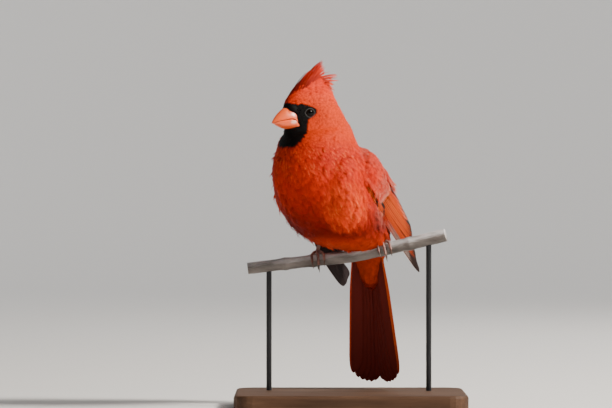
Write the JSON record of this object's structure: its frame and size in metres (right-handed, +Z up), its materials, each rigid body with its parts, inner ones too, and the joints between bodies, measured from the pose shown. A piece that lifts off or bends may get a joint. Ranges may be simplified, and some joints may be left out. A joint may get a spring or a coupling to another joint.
{
  "type": "bird model on a perch",
  "caption": "Life-size northern cardinal, male, with raised crest and hanging tail, gripping a short branch held over a flat base by rods.",
  "frame": {"origin": "centre of the underside of the display base", "axes": "+Z up, the front view looks along +Y, +X to the right of that view; the bird faces left and towards the viewer in it"},
  "size_m": [0.17, 0.12, 0.2546],
  "materials": {
    "red_feathers": "soft matte feathers",
    "crest_feathers": "soft matte feathers",
    "flight_feathers": "smooth satin feathers",
    "bill_horn": "satin horn",
    "eye": "wet gloss",
    "leg_skin": "scaly skin",
    "bark": "rough bark",
    "base_wood": "satin varnish",
    "rod_black": "satin black paint"
  },
  "bodies": {
    "root": {"torso": "red_feathers", "neck": "red_feathers", "head": "red_feathers", "crest": "crest_feathers", "wing_left": "flight_feathers", "wing_right": "flight_feathers", "tail": "flight_feathers", "bill_upper": "bill_horn", "bill_lower": "bill_horn", "eye_left": "eye", "eye_right": "eye", "leg_left": "leg_skin", "leg_right": "leg_skin", "perch": "bark", "stand_base": "base_wood", "stand_rod_left": "rod_black", "stand_rod_right": "rod_black"}
  },
  "joints": []
}
